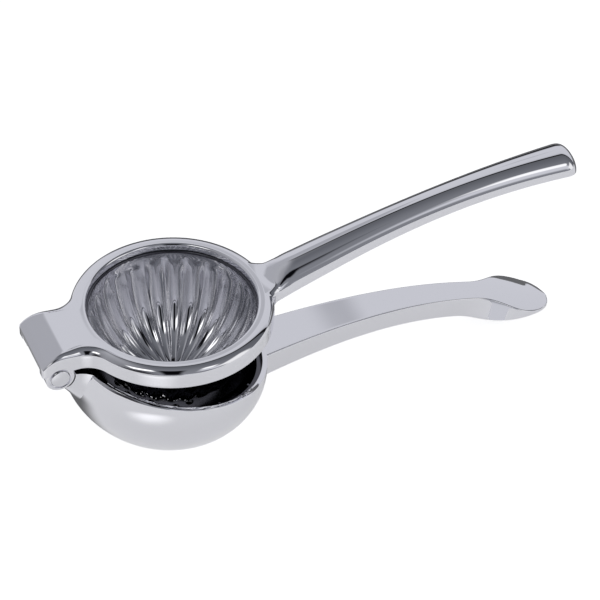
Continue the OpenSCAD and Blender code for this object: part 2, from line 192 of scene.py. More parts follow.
def carve(obj, operation, *tools):
    """Joins or cuts obj with the tools, which are used up."""
    for tool in tools:
        step = obj.modifiers.new("carve", "BOOLEAN")
        step.operation, step.solver, step.object = operation, "EXACT", tool
        mesh = bpy.data.meshes.new_from_object(obj.evaluated_get(bpy.context.evaluated_depsgraph_get()))
        if not mesh.polygons:
            raise RuntimeError(f"nothing is left of {obj.name} after a cut")
        obj.modifiers.clear()
        obj.data = mesh
        bpy.data.objects.remove(tool)
    return obj


def finished(obj, steel, body, node):
    """Smooth shading with crisp edges kept, the steel, and the CAD body and node obj stands for."""
    mesh = obj.data
    if not mesh.polygons:
        raise RuntimeError(f"{obj.name} has no faces")
    mesh.name = obj.name
    mesh.materials.clear()
    mesh.materials.append(finish_of(steel))
    mesh.shade_smooth()
    mesh.set_sharp_from_angle(angle=math.radians(32))
    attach(obj, body)
    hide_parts(node)


def leave_unpolished(obj, hidden, open_angle=0.0):
    """Gives the dark, unbuffed steel to the faces whose middle, as drawn, is hidden: painted shade where
    neither buff nor light reaches.
    """
    obj.data.materials.append(finish_of(unbuffed_shaded_stainless))
    for face in obj.data.polygons:
        if hidden(*as_drawn(face.center, open_angle)):
            face.material_index = 1


# ---------------------------------------------------------------- sizes and finishes

def linear(hexa):
    """Linear RGBA of an sRGB hex colour."""
    s = [int(hexa[i:i + 2], 16) / 255 for i in (0, 2, 4)]
    return [c / 12.92 if c <= 0.04045 else ((c + 0.055) / 1.055) ** 2.4 for c in s] + [1.0]


def size(title, about, default):
    """A length in metres that the sidebar shows in the scene's unit."""
    return FloatProperty(name=title, description=about, default=default, min=0,
                         subtype="DISTANCE", unit="LENGTH", precision=4)


def colour(title, about, hexa):
    """A colour whose default is given as sRGB hex."""
    return FloatVectorProperty(name=title, description=about, default=linear(hexa), size=4,
                               min=0, max=1, subtype="COLOR")


class SqueezerSizes(bpy.types.PropertyGroup):
    """Sizes of the squeezer's pieces."""
    ring_r: size("Ring radius", "Radius of the inner edge of the ring's flat top", 0.031)
    ring_w: size("Ring width", "From that edge to the ring's outer wall", 0.005)
    ring_h: size("Ring height", "Height of the ring over the parting plane", 0.0083)
    shoulder_w: size("Shoulder width", "Width of the ring's rounded shoulder", 0.0035)
    shoulder_h: size("Shoulder height", "Height of the ring's rounded shoulder", 0.003)
    lip_r: size("Lip round", "Radius of the rounded inner lip", 0.001)
    lip_t: size("Lip thickness", "Thickness of the lip that the press cup hangs under", 0.0028)
    neck_fillet: size("Neck fillet", "Radius of the fillets between head and hinge", 0.009)
    hinge_w: size("Hinge width", "Width over the two ears", 0.0258)
    ear_t: size("Ear thickness", "Thickness of each ear", 0.0036)
    ear_r: size("Ear radius", "Radius of the ears' round lobes", 0.0052)
    hood_reach: size("Hood reach", "How far the hood reaches past the hinge axis", 0.0063)
    hood_drop: size("Hood drop", "How far the hood curves down at its end", 0.0045)
    pin_r: size("Pin radius", "Radius of the hinge pin", 0.0028)
    head_r: size("Pin head radius", "Radius of the pin's flat head", 0.0039)
    head_t: size("Pin head thickness", "Thickness of the pin's head", 0.0012)
    knuckle_r: size("Knuckle radius", "Outer radius of the knuckle", 0.0046)
    sheet_t: size("Sheet thickness", "Thickness of the pressed cups", 0.0012)
    cup_depth: size("Cup depth", "Depth of the press cup below its flange", 0.032)
    flute_depth: size("Flute depth", "Depth of one flute of the press cup", 0.0013)
    flutes: IntProperty(name="Flutes", description="Flutes of the press cup", default=24, min=8)
    bowl_r: size("Bowl radius", "Largest outer radius of the bowl", 0.0373)
    bowl_depth: size("Bowl depth", "Height of the bowl's rounded lower part", 0.0303)
    bowl_widest: size("Bowl belly", "Depth of the bowl's widest line below its rim", 0.0063)
    bowl_wall: size("Bowl wall", "Thickness of the bowl's wall", 0.0018)
    press_reach: size("Press handle reach", "From the ring's middle to the handle's tip", 0.155)
    press_rise: size("Press handle rise", "Height of its underside at the tip", 0.0246)
    bowl_reach: size("Bowl handle reach", "From the ring's middle to the handle's tip", 0.153)
    bowl_tip_z: size("Bowl handle rise", "Height of its top at the tip", 0.01)
    spatula_w: size("Bowl handle tip", "Half width of the bowl handle's tip", 0.011)
    open_angle: FloatProperty(name="Opening", description="Degrees between the levers as they lie",
                              default=14.0, min=0, max=100)


class SqueezerFinish(bpy.types.PropertyGroup):
    """Colours and polish of the squeezer's steels, and the studio floor."""
    polished: colour("Polished steel", "Mirror polished stainless steel of the levers", "E9E9ED")
    drawn: colour("Drawn steel", "Drawn and tumbled stainless sheet of the press cup", "DEDEE2")
    # The unbuffed steel's dark grey is painted shade, for the gaps and the seam that little light
    # reaches
    unbuffed_shade: colour("Unpolished steel", "Drawn sheet that was never buffed", "5A5A60")
    turned: colour("Turned steel", "Turned stainless steel of the hinge", "E4E4E8")
    floor: colour("Floor", "Pale studio floor", "E8E8E8")
    polish: FloatProperty(name="Polish", description="Roughness left by the last buffing",
                          default=0.03, min=0, max=1, subtype="FACTOR")


def own_settings(group):
    """A group's own settings, without the two that Blender adds."""
    return [prop for prop in group.bl_rna.properties if prop.identifier not in {"rna_type", "name"}]


def sizes():
    """The sizes in millimetres, the other settings as they are, and what follows from them."""
    group = bpy.context.scene.squeezer_sizes
    values = {}
    for prop in own_settings(group):
        value = getattr(group, prop.identifier)
        values[prop.identifier] = value * 1000 if getattr(prop, "unit", "") == "LENGTH" else value
    s = SimpleNamespace(**values)
    s.outer_r = s.ring_r + s.ring_w
    s.half_w = s.hinge_w / 2
    s.lip_in = s.ring_r - 0.8 * s.lip_r
    s.cup_r = s.lip_in - 0.6
    s.cup_top = s.ring_h - s.lip_t - 0.05
    return s


# ---------------------------------------------------------------- materials

def add_node(tree, kind, settings=None, inputs=None):
    """Adds a node with its settings. An input is linked if its value is a socket, else set."""
    node = tree.nodes.new(kind)
    for key, value in (settings or {}).items():
        setattr(node, key, value)
    for key, value in (inputs or {}).items():
        if isinstance(value, bpy.types.NodeSocket):
            tree.links.new(value, node.inputs[key])
        else:
            node.inputs[key].default_value = value
    return node


# Sockets of a Mix node that mixes colours
SHARE, FIRST, SECOND, MIXED = 0, 6, 7, 2


def empty_material(name):
    made = bpy.data.materials.new(name)
    made.use_nodes = True
    made.node_tree.nodes.clear()
    return made


def stainless(name, tint, grain, detail, low, high, wave=0.0):
    """Stainless steel whose roughness goes from low to high over a grain of this width in mm.
    With a wave, its reflections swim over slow waves of that length in mm."""
    made = empty_material(name)
    tree = made.node_tree
    place = add_node(tree, "ShaderNodeTexCoord").outputs["Object"]
    mottle = add_node(tree, "ShaderNodeTexNoise",
                      inputs={"Vector": place, "Scale": 1000 / grain, "Detail": detail})
    rough = add_node(tree, "ShaderNodeMapRange",
                     inputs={"Value": mottle.outputs["Fac"], "To Min": low, "To Max": high})
    surface = {"Base Color": tuple(tint), "Metallic": 1.0, "Roughness": rough.outputs["Result"]}
    if wave:
        swell = add_node(tree, "ShaderNodeTexNoise",
                         inputs={"Vector": place, "Scale": 1000 / wave, "Detail": 1.0})
        bump = add_node(tree, "ShaderNodeBump", inputs={"Height": swell.outputs["Fac"],
                                                        "Strength": 0.012, "Distance": 0.001})
        surface["Normal"] = bump.outputs["Normal"]
    metal = add_node(tree, "ShaderNodeBsdfPrincipled", inputs=surface)
    add_node(tree, "ShaderNodeOutputMaterial", inputs={"Surface": metal.outputs["BSDF"]})
    return made


def mirror_polished_stainless():
    """Cast stainless steel, ground and then buffed by hand to a mirror."""
    # The eye gets clear reflections that bend a little over waves about 17 mm long, with a faint
    # haze of hairlines. Real ones are 0.05 mm wide, so they are drawn 0.4 mm wide to show.
    finish = bpy.context.scene.squeezer_finish
    return stainless("mirror_polished_stainless", finish.polished, grain=0.385, detail=2.0,
                     low=finish.polish * 0.6, high=finish.polish * 1.6, wave=16.67)


def drawn_stainless():
    """Stainless sheet, deep drawn and pressed in a die, then tumbled bright."""
    # The eye gets bright broken reflections in the flutes, softened by the die's orange peel,
    # whose grains are about 1.1 mm wide
    finish = bpy.context.scene.squeezer_finish
    return stainless("drawn_stainless", finish.drawn, grain=1.11, detail=3.0, low=0.03, high=0.07)


def unbuffed_shaded_stainless():
    """Drawn stainless sheet as it left the die, where no buff reaches, with painted shade in its dark
    grey.
    """
    # The eye gets a dark, matt sheen with grains of 0.8 mm. Its dark grey is painted shade for the
    # gaps between the cups and the bowl, and for the seam round the press cup.
    finish = bpy.context.scene.squeezer_finish
    return stainless("unbuffed_shaded_stainless", finish.unbuffed_shade, grain=0.833, detail=2.0,
                     low=0.12, high=0.22)


def turned_stainless():
    """Stainless bar turned on a lathe, then brushed over."""
    # The eye gets a pale face with soft reflections. Real tool marks are 0.1 mm apart, too fine
    # to show, so they are drawn as a grain of 0.67 mm.
    finish = bpy.context.scene.squeezer_finish
    return stainless("turned_stainless", finish.turned, grain=0.667, detail=1.0, low=0.1, high=0.18)


def finish_of(steel):
    """The material that this function makes, made only once."""
    return bpy.data.materials.get(steel.__name__) or steel()


# ---------------------------------------------------------------- upper lever

def half_outline(s, r, inset):
    """Half of the plan outline of a lever's head, drawn in by inset, from the handle side over
    +Y to the middle of the tab's end: a circle, a concave fillet and a tab."""
    corner, circle_steps, fillet_steps, side_steps, end_steps = 0.6, 110, 16, 12, 8
    side_y, end_x = s.half_w - inset, HINGE[0] - s.hood_reach
    fillet = s.neck_fillet + inset
    cy = side_y + fillet
    cx = -math.sqrt((r - inset + fillet) ** 2 - cy * cy)
    turn = math.atan2(cy, cx)
    a = turn * (np.arange(circle_steps) + 0.5) / (circle_steps - 0.5)
    b = turn - math.pi + (math.pi / 2 - turn) * np.arange(1, fillet_steps + 1) / fillet_steps
    c = np.radians([90, 120, 150, 180])
    side = np.linspace(cx, end_x + corner, side_steps)[1:-1]
    end = (side_y - corner) * (1 - np.arange(1, end_steps) / end_steps)
    return np.concatenate([
        (r - inset) * np.stack([np.cos(a), np.sin(a)], 1),
        np.array([cx, cy]) + fillet * np.stack([np.cos(b), np.sin(b)], 1),
        np.stack([side, side * 0 + side_y], 1),
        np.array([end_x + corner, side_y - corner]) + corner * np.stack([np.cos(c), np.sin(c)], 1),
        np.stack([end * 0 + end_x, end], 1)])


def outline(s, r, inset):
    half = half_outline(s, r, inset)
    return np.concatenate([half, half[::-1] * [1, -1]])


def hooded(s, points, z, inset=0.0):
    """Plan points raised to height z, with the hood curved down over the hinge and the shoulder
    narrowed towards the hood's crisp end."""
    crispness = 0.7
    hood_x, end_x = HINGE[0] + s.hood_reach / 2, HINGE[0] - s.hood_reach
    bend = ((hood_x - end_x) ** 2 + s.hood_drop ** 2) / (2 * s.hood_drop)
    x = points[:, 0]
    crisp = crispness * ease(hood_x + s.hood_reach, end_x, x) * (np.asarray(z) > s.ring_h / 2)
    top = z + (s.ring_h - z) * crisp
    past = np.clip(hood_x - x, 0, None)
    fall = bend - np.sqrt(bend ** 2 - past ** 2)
    y = points[:, 1] * (1 + crisp * inset / (s.half_w - inset))
    return np.stack([x, y, top - fall * np.maximum(0, top) / s.ring_h], 1)


def ring_levels(s):
    """The ring's closed section, carried round the whole outline of the head."""
    clearance, low_edge, chamfer = 0.15, 0.6, 0.3
    shoulder_z, lip_z = s.ring_h - s.shoulder_h, s.ring_h - s.lip_t
    bore, plan = s.ring_r + 0.6, outline(s, s.outer_r, 0)
    bearing = np.arctan2(plan[:, 1], plan[:, 0])
    spoke = np.stack([np.cos(bearing), np.sin(bearing)], 1)
    levels = []
    # Round inner lip, the step under it and the bore
    for a in np.radians(np.linspace(90, 0, 7)):
        levels.append(hooded(s, spoke * (s.lip_in + s.lip_r * (1 - math.cos(a))),
                             s.ring_h - s.lip_r + s.lip_r * math.sin(a)))
    for r, z in [(s.lip_in, lip_z + chamfer), (s.lip_in + chamfer, lip_z), (bore, lip_z),
                 (bore, clearance + chamfer), (bore + chamfer, clearance)]:
        levels.append(np.column_stack([spoke * r, np.full(len(spoke), z)]))
    # Flat underside, round lower edge and outer wall
    low = outline(s, s.outer_r, low_edge)
    for k in np.linspace(0, 1, 6)[1:]:
        levels.append(hooded(s, spoke * (bore + chamfer) * (1 - k) + low * k, clearance))
    for a in np.radians(np.linspace(0, 90, 5)[1:]):
        levels.append(hooded(s, outline(s, s.outer_r, low_edge * (1 - math.sin(a))),
                             clearance + low_edge * (1 - math.cos(a))))
    for z in np.linspace(clearance + low_edge, shoulder_z, 8)[1:-1]:
        levels.append(hooded(s, plan, z))
    # Round shoulder and flat top
    for a in np.radians(np.linspace(0, 90, 19)):
        inset = s.shoulder_w * (1 - math.cos(a))
        levels.append(hooded(s, outline(s, s.outer_r, inset),
                             shoulder_z + s.shoulder_h * math.sin(a), inset))
    inner = hooded(s, outline(s, s.outer_r, s.shoulder_w), s.ring_h, s.shoulder_w)[:, :2]
    for k in np.linspace(0, 1, 15)[1:-1]:
        levels.append(hooded(s, inner * (1 - k) + spoke * (s.lip_in + s.lip_r) * k, s.ring_h))
    return levels


def make_press_ring():
    """The ring with its neck, hood and two ears, cut free round knuckle, pin head and collar."""
    s = sizes()
    clearance, slot_top, hood_inside, overshoot = 0.3, 0.75, 1.8, 1
    hx, hz, w = HINGE[0], HINGE[2], s.half_w
    ear_in, room = w - s.ear_t, 2 * s.hood_reach
    # How far the ears' round lobes reach where they meet the ring's underside
    lean = math.sqrt(s.ear_r ** 2 - (hz - 0.15) ** 2)
    ring = solid("press_ring_body", [skin(ring_levels(s), round_rows=True)], upper)
    for side in (-1, 1):
        y0, y1 = sorted((side * (w - 0.02), side * ear_in))
        web = block(hx - s.hood_reach / 2, hx + lean, y0 + 0.01, y1 - 0.01, hz, s.ring_h / 4)
        lobe = rod(s.ear_r, y0, y1, 0.35)
        carve(ring, "UNION", solid("lobe", [lobe], upper), solid("web", [web], upper))
    cuts = [rod(s.knuckle_r + clearance, -ear_in, ear_in),
            block(hx, hx + 4 / 3 * s.knuckle_r, -ear_in, ear_in, -room, slot_top),
            block(hx - room, hx, -ear_in, ear_in, -room, hood_inside),
            rod(s.head_r + clearance, -w - overshoot, -w + s.head_t - clearance),
            rod(s.head_r + clearance, w - s.head_t + clearance, w + overshoot),
            rod(s.pin_r, -w - overshoot, w + overshoot)]
    carve(ring, "DIFFERENCE", *[solid("cut", [cut], upper) for cut in cuts])
    finished(ring, mirror_polished_stainless, "press_lever", "press_ring")


def press_side(s, t):
    """Centre point x, height of the underside, half width and height of the press handle."""
    root, root_slope, tip_slope = (s.outer_r - 4, 0.6), 18.8, 0.5
    half_widths, heights, root_dip = (9.1, 6.4, 8.3), (9.9, 7.4, 7.6), 2.6
    x, z = side_curve(root, root_slope, (s.press_reach, s.press_rise), tip_slope, t)
    return x, z, through(half_widths, t), through(heights, t) - root_dip * (1 - ease(0, 0.1, t))


def press_rows(s):
    """Closed rings of the press handle, from inside the ring's top to the round tip. Each ring
    is half a section, from the middle of the underside over the wall to the crest, mirrored."""
    # The root starts at this bearing of the ring, the extra width there is gone at x = evened, and
    # the tip is rounded over this length
    top_r, bearing, evened, tip = s.ring_r + 1, math.radians(17), 60, 6.0
    narrowing, low_edge = 0.6, 0.7
    # Where along the half section the wall ends and the crown starts
    wall, crown = 0.2, 0.7
    u = np.concatenate([np.linspace(0, wall, 9), np.linspace(wall, crown, 17)[1:],
                        np.linspace(crown, 1, 9)[1:]])
    dome = np.radians(np.interp(u, [0, wall, crown, 1], [0, 13, 54, 90]))
    curve = np.radians(np.clip((u - wall) / 0.5, 0, 1) * 90)
    along = np.clip((u - crown) / 0.3, 0, 1)
    ts = np.linspace(0, 1, 4001)
    xs = np.array([press_side(s, t)[0] for t in ts])
    # A concave fillet leads from the ring's wall, at this bearing, into the handle's side
    side_w = press_side(s, 0.085)[2]
    fillet = (s.outer_r * math.sin(bearing) - side_w) / (1 - math.sin(bearing))
    centre = (s.outer_r + fillet) * np.array([math.cos(bearing), math.sin(bearing)])
    root_from, root_to = top_r + 1.5, centre[0] + 4.5
    widening = side_w - press_side(s, np.interp(centre[0], xs, ts))[2]
    rows = []

    def section(x, z, w, h):
        """Half section at x: a dome a little fuller than an ellipse."""
        return np.column_stack([np.full(len(u), x), w * np.cos(dome), z + h * np.sin(dome) ** 0.85])

    def heights(z, top, tall):
        """Heights of a half section with an upright wall and a round shoulder under a flat top."""
        return np.where(u < wall, z + (top - tall - z) * u / wall, top - tall + tall * np.sin(curve))

    def add(points, z_low, sink=0.0):
        """Adds a ring from its half, with a rounded lower edge and a closed underside."""
        low = np.clip(1 - (points[:, 2] - z_low) / low_edge, 0, 1)
        y = points[:, 1] - low_edge * (1 - np.sqrt(1 - low * low)) * np.minimum(1, points[:, 1] / 2)
        half = np.column_stack([points[:, 0], np.maximum(y, 0), points[:, 2] - sink])
        under = half[0] * np.array([[1, k, 1] for k in (0, 0.3, 0.6, 0.85)])
        half = np.concatenate([under, half])
        rows.append(np.concatenate([half, half[1:-1][::-1] * [1, -1, 1]]))

    for k in np.linspace(0, 1, 26):
        phi = bearing + math.pi + (math.pi / 2 - bearing) * k
        n = np.array([math.cos(phi), math.sin(phi)])
        p = centre + fillet * n
        _, z, _, h = press_side(s, np.interp(p[0], xs, ts))
        # The ring's shoulder narrows before the dome of the handle rises
        narrow = 1 - narrowing * ease(0, 0.9, k)
        wide, tall = s.shoulder_w * narrow, s.shoulder_h * narrow
        q = p + wide * n
        crest = np.array([top_r + (centre[0] - top_r) * k, 0])
        reach = bearing * (1 - along)
        arc = (np.stack([np.cos(reach), np.sin(reach)], 1)
               * (top_r + (np.hypot(*q) - top_r) * (1 - along))[:, None])
        flat = q + (crest - q) * along[:, None]
        onto = ease(0, 1, k)
        plan = np.where((u > crown)[:, None], flat * onto + arc * (1 - onto),
                        p + wide * (1 - np.cos(curve))[:, None] * n)
        ringed = np.column_stack([plan, heights(z, s.ring_h, tall)])
        blend = ease(root_from, root_to, crest[0])
        add(ringed * (1 - blend) + section(p[0], z, p[1], h) * blend, z, 0.02 * (1 - onto))
    wide, tall = s.shoulder_w * (1 - narrowing), s.shoulder_h * (1 - narrowing)
    straight = np.linspace(centre[0], s.press_reach - tip, 90)[1:]
    rounding = s.press_reach - tip + tip * np.sin(np.radians(np.linspace(0, 90, 26)))[1:]
    for x in np.concatenate([straight, rounding]):
        _, z, w, h = press_side(s, np.interp(x, xs, ts))
        k = min(1, max(0, (x - s.press_reach + tip) / tip))
        w = (w + widening * ease(evened, centre[0], x)) * max(0, 1 - k ** 3) ** (1 / 3)
        h *= max(0, 1 - k ** 2.4) ** (1 / 2.4)
        top = s.ring_h + (z + h - s.ring_h) * ease(centre[0], root_to, x)
        y = np.where(u > crown, (w - wide) * (1 - along), w - wide * (1 - np.cos(curve)))
        slab = np.column_stack([np.full(len(u), x), y, heights(z, top, tall)])
        blend = ease(root_from, root_to, x)
        add(slab * (1 - blend) + section(x, z, w, h) * blend, z)
    return rows


def make_press_handle():
    """The upper handle: domed above, flat below, and grown out of the ring's wall."""
    handle = solid("press_handle_body", [skin(press_rows(sizes()), caps=True)], upper)
    finished(handle, mirror_polished_stainless, "press_lever", "press_handle")


def fluted(s, q, turn, out, keen):
    """Radius of the fluted cup's wall at level q (0 at its top, 90 at the pole), in degrees.
    Of each flute the share keen is round, and the rest is the sharper ridge beside it."""
    throat, flutes_full, flutes_fade = 14, 8, 62
    f = np.abs(2 * (turn * s.flutes % 1) - 1)
    ridge = f - keen
    wave = np.where(f < keen, 1 - f * f,
                    1 - keen ** 2 - 2 * keen * ridge + keen / (1 - keen) * ridge ** 2)
    plain = ease(throat, 0, q)
    depth = ease(0, flutes_full, q) * (1 - ease(flutes_fade, 90, q)) * (1 - 0.9 * plain)
    return ((s.cup_r - s.flute_depth) * math.cos(math.radians(q)) + out + s.flute_depth * plain
            + s.flute_depth * depth * wave)


def make_press_cup():
    """The fluted cup, with a flange that lies in the ring's recess."""
    s = sizes()
    top, base, flange_r, flange_edge = s.cup_top, s.cup_top - 1.5, s.ring_r + 0.55, 0.2
    # Radius of the bend into the cup, depth of its edge that gets painted shade, and radius of the
    # closed pole
    bend, shaded_edge_depth, pole = 0.5, 0.9, 0.5
    steps = s.flutes * 20
    turn = np.arange(steps) / steps
    c, d = np.cos(2 * math.pi * turn), np.sin(2 * math.pi * turn)

    def level(r, z):
        r = np.broadcast_to(r, c.shape)
        return np.column_stack([r * c, r * d, np.full(len(c), z)])

    def wall(q, out, keen, depth):
        return level(np.maximum(pole, fluted(s, q, turn, out, keen)),
                     base - depth * math.sin(math.radians(q)))

    qs = np.concatenate([np.linspace(0, 20, 22), np.linspace(20, 88.5, 40)[1:]])
    rows = [wall(q, s.sheet_t, 0.7, s.cup_depth + s.sheet_t) for q in qs[::-1]]
    rows += [level(flange_r - flange_edge, base), level(flange_r, base + flange_edge),
             level(flange_r, top - flange_edge), level(flange_r - flange_edge, top)]
    rows += [level(s.cup_r + bend * (1 - math.sin(a)), top - bend + bend * math.cos(a))
             for a in np.radians([0, 20, 45, 70, 90])]
    rows += [level(s.cup_r, top - shaded_edge_depth), level(s.cup_r, base + 0.4)]
    rows += [wall(q, 0, 0.9, s.cup_depth) for q in qs]
    cup = solid("press_cup_body", [skin(rows, caps=True)], upper)
    finished(cup, drawn_stainless, "press_lever", "press_cup")
    # The bent edge under the ring's lip gets the dark steel: painted shade that makes the dark seam
    # round the cup
    leave_unpolished(cup, lambda x, y, z: z > top - shaded_edge_depth, s.open_angle)


# ---------------------------------------------------------------- lower lever

def bowl_curve(s, shrink, z_top):
    """Half section of the bowl drawn in by shrink, from z_top down to the pole, on the axis."""
    steps = 72
    r, depth = s.bowl_r - shrink, s.bowl_depth - shrink
    start = -math.asin((z_top + s.bowl_widest) / depth)
    a = start + (math.pi / 2 - start) * np.arange(steps + 1) / steps
    curve = np.column_stack([r * np.cos(a), -s.bowl_widest - depth * np.sin(a)])
    curve[-1, 0] = 0
    return curve.tolist()


def about_bowl(section):
    """Skin of a half section turned about the bowl's axis."""
    return lathe(section, middle=(BOWL_X, 0, 0))


def neck_rows(s):
    """Sections of the bowl's neck, from under the hinge into the bowl."""
    widest, overlap, lid_z, start_x, end_x = 21, 0.02, -0.17, -46.0, -20
    half = half_outline(s, s.outer_r, 0)
    plan = half[np.argsort(half[:, 0])]
    # Underside of the neck as (x, z), as the photo shows its outline
    under = np.array([[-46, -5.94], [-44, -7.3], [-40.8, -10.6], [-37.4, -14.6], [-34, -18.4],
                      [-28, -23], [-20, -26.1]])
    rows = []
    for x in np.linspace(start_x, end_x, 40):
        w = min(np.interp(x, plan[:, 0], plan[:, 1]), widest) - overlap
        deep = -np.interp(x, under[:, 0], under[:, 1]) - 0.15
        # Squarish near the hinge, elliptic at the bowl
        n = 2 + 4 * ease(-30, start_x, x)
        a = np.radians(np.linspace(180, 360, 41))
        y = w * np.sign(np.cos(a)) * np.abs(np.cos(a)) ** (2 / n)
        z = lid_z - deep * np.abs(np.sin(a)) ** (2 / n)
        lid = np.linspace(w, -w, 14)[1:-1]
        rows.append(np.concatenate([np.column_stack([y * 0 + x, y, z]),
                                    np.column_stack([lid * 0 + x, lid, lid * 0 + lid_z])]))
    return rows


def holes(radius, pitch, rounds):
    """Skins of the cutters for rounds of holes about the bowl's axis."""
    low, high, steps = -45, -15, 32
    skins = []
    for k in range(rounds):
        count = max(1, 6 * k)
        for i in range(count):
            a = 2 * math.pi * i / count
            middle = (pitch * k * math.cos(a) + BOWL_X, pitch * k * math.sin(a), 0)
            skins.append(lathe([(0, low), (radius, low), (radius, high), (0, high)], steps, middle))
    return skins


def make_strainer_cup():
    """The perforated liner of the bowl, with upright ribs inside."""
    s = sizes()
    top, rim_t, edge, gap = -2.2, 1.6, 0.15, 1
    ribs_n, rib_inner, rib_half, rib_proud = 12, 18, 0.4, 0.9
    hole_r, hole_pitch, hole_rounds = 1.4, 5.2, 4
    out, within = s.bowl_wall + gap, s.bowl_wall + gap + s.sheet_t
    outer, inner = bowl_curve(s, out, top - rim_t), bowl_curve(s, within, top - 0.2)
    level = (top + s.bowl_widest) / (s.bowl_depth - s.bowl_wall)
    rim = (s.bowl_r - s.bowl_wall) * math.sqrt(1 - level ** 2) - 0.1
    section = ([(rim - edge, top), (rim, top - edge), (rim, top - rim_t + edge),
                (rim - edge, top - rim_t)] + outer + inner[::-1]
               + [(inner[0][0] + 0.1, top - 0.05), (inner[0][0] + 0.25, top)])
    cup = solid("strainer_cup_body", [about_bowl(section)], lower)
    # The ribs are upright blades, cut to the room between the sheet and a line inside it
    blades = []
    for i in range(ribs_n):
        points, faces = block(rib_inner, s.bowl_r - within, -rib_half, rib_half, -32, top - 0.3)
        a = (i + 0.5) * 2 * math.pi / ribs_n
        c, d = math.cos(a), math.sin(a)
        blades.append((points @ np.array([[c, d, 0], [-d, c, 0], [0, 0, 1]]) + [BOWL_X, 0, 0], faces))
    ribs = solid("ribs", blades, lower)
    for operation, shrink in (("INTERSECT", within - 0.1), ("DIFFERENCE", within + rib_proud)):
        room = about_bowl([(0, top)] + bowl_curve(s, shrink, top))
        carve(ribs, operation, solid("room", [room], lower))
    carve(cup, "UNION", ribs)
    carve(cup, "DIFFERENCE", solid("cut", holes(hole_r, hole_pitch, hole_rounds), lower))
    # The liner is unbuffed steel whose dark grey is painted shade for the gap under the press cup
    finished(cup, unbuffed_shaded_stainless, "bowl_lever", "strainer_cup")


def make_bowl_shell():
    """The bowl with its neck, hollowed, cut free round the ears and drilled to drain."""
    s = sizes()
    rim_z, overshoot, drain_r, drain_pitch, drain_rounds = -0.15, 1, 2.2, 7, 3
    hx, hz, w = HINGE[0], HINGE[2], s.half_w
    side_in, room = w - s.ear_t - 0.65, 2 * s.hood_reach
    outer = bowl_curve(s, 0, -0.4)
    rim = [(0, rim_z), (outer[0][0] - 0.4, rim_z), (outer[0][0] - 0.1, rim_z - 0.1)]
    bowl = solid("bowl_shell_body", [about_bowl(rim + outer)], lower)
    carve(bowl, "UNION", solid("neck", [skin(neck_rows(s), caps=True)], lower))
    inner = bowl_curve(s, s.bowl_wall, -0.3)
    mouth = inner[0][0] + 0.3
    cuts = [[about_bowl([(0, overshoot), (mouth, overshoot), (mouth, rim_z)] + inner)],
            [rod(s.knuckle_r - 0.02, -side_in, side_in)]]
    for y0, y1 in ((-w - overshoot, -side_in), (side_in, w + overshoot)):
        cuts += [[rod(s.ear_r + 0.3, y0, y1)],
                 [block(hx - room, hx + s.ear_r / 2, y0, y1, hz - 26, hz)]]
    cuts.append(holes(drain_r, drain_pitch, drain_rounds))
    # The flat that the bowl stands on is where the table cuts it, as it lies
    table = solid("cut", [block(-90, 90, -90, 90, -60, 0)], lambda points: points)
    carve(bowl, "DIFFERENCE", *[solid("cut", cut, lower) for cut in cuts], table)
    finished(bowl, mirror_polished_stainless, "bowl_lever", "bowl_shell")

    def inside(x, y, z):
        out = math.hypot(x - BOWL_X, y) / s.bowl_r
        down = (z + s.bowl_widest) / s.bowl_depth
        return out * out + down * down < (1 - 0.6 * s.bowl_wall / s.bowl_r) ** 2 and z < -0.3

    # The bowl's inside, behind the strainer, gets the dark steel as painted shade
    leave_unpolished(bowl, inside)


def bowl_handle_row(s, t):
    """One ring of the bowl handle: flat top, crisp crease, skirt and the hollow underneath.
    Towards the tip the crease moves out to the rim, and the top droops into a thin round plate."""
    root, root_slope, tip_slope = (29, -4), 21, 13
    top_widths, depths = (9.7, 5.8, 5), (10.5, 0.97 * 7.9, 1.28 * 7.9)
    tip_t, least_t, flare, tip_round, sheet = 1.4, 1.2, 0.2, 0.87, 2.2
    x, z = side_curve(root, root_slope, (s.bowl_reach, s.bowl_tip_z), tip_slope, t)
    near = math.sqrt(max(0.0009, 1 - max(0, (t - tip_round) / (1 - tip_round)) ** 2.2))
    spread, opened, end = ease(0.68, tip_round, t), ease(0.72, 0.9, t), ease(0.74, 1, t)
    top_w = through(top_widths, t)
    b = ((top_w + flare) * (1 - spread) + s.spatula_w * spread) * near
    a = top_w * near * (1 - opened) + (b - 0.15) * opened
    h = through(depths, min(t, 0.8)) * (1 - end) + tip_t * end
    droop = max(0, min(0.11 * a * opened, h - least_t))
    # Flat top, a crease rounded by half a millimetre, and the skirt
    crease = min(0.5, 0.3 * a)
    y = np.linspace(0, a - crease, 9)
    top = np.column_stack([y, droop * (y / a) ** 2])
    corner, foot = np.array([a, droop]), np.array([b, h - 0.25])
    down = corner + (foot - corner) * min(0.5, 0.5 / math.hypot(*(foot - corner)))
    k = np.linspace(0, 1, 7)[1:, None]
    bend = top[-1] * (1 - k) ** 2 + corner * 2 * k * (1 - k) + down * k ** 2
    skirt = bend[-1] + (foot - bend[-1]) * np.linspace(0, 1, 9)[1:, None]
    # Lower edge and the hollow
    wall, thick = min(sheet, 0.4 * b, 0.5 * a), min(sheet, 0.6 * h)
    roof = max(min(a, top_w * near) - wall, 0.3 * a)
    hem = np.array([[b - 0.05, h - 0.08], [b - 0.2, h], [b - wall, h]])
    inner = np.array([[roof + 0.2 * (b - wall - roof), thick + 0.2 * (h - thick)], [roof, thick],
                      [0.5 * roof, thick], [0, thick]])
    half = np.concatenate([top, bend, skirt, hem, inner])
    ring = np.concatenate([half, half[1:-1][::-1] * [-1, 1]])
    return np.column_stack([np.full(len(ring), x), ring[:, 0], z - ring[:, 1]])


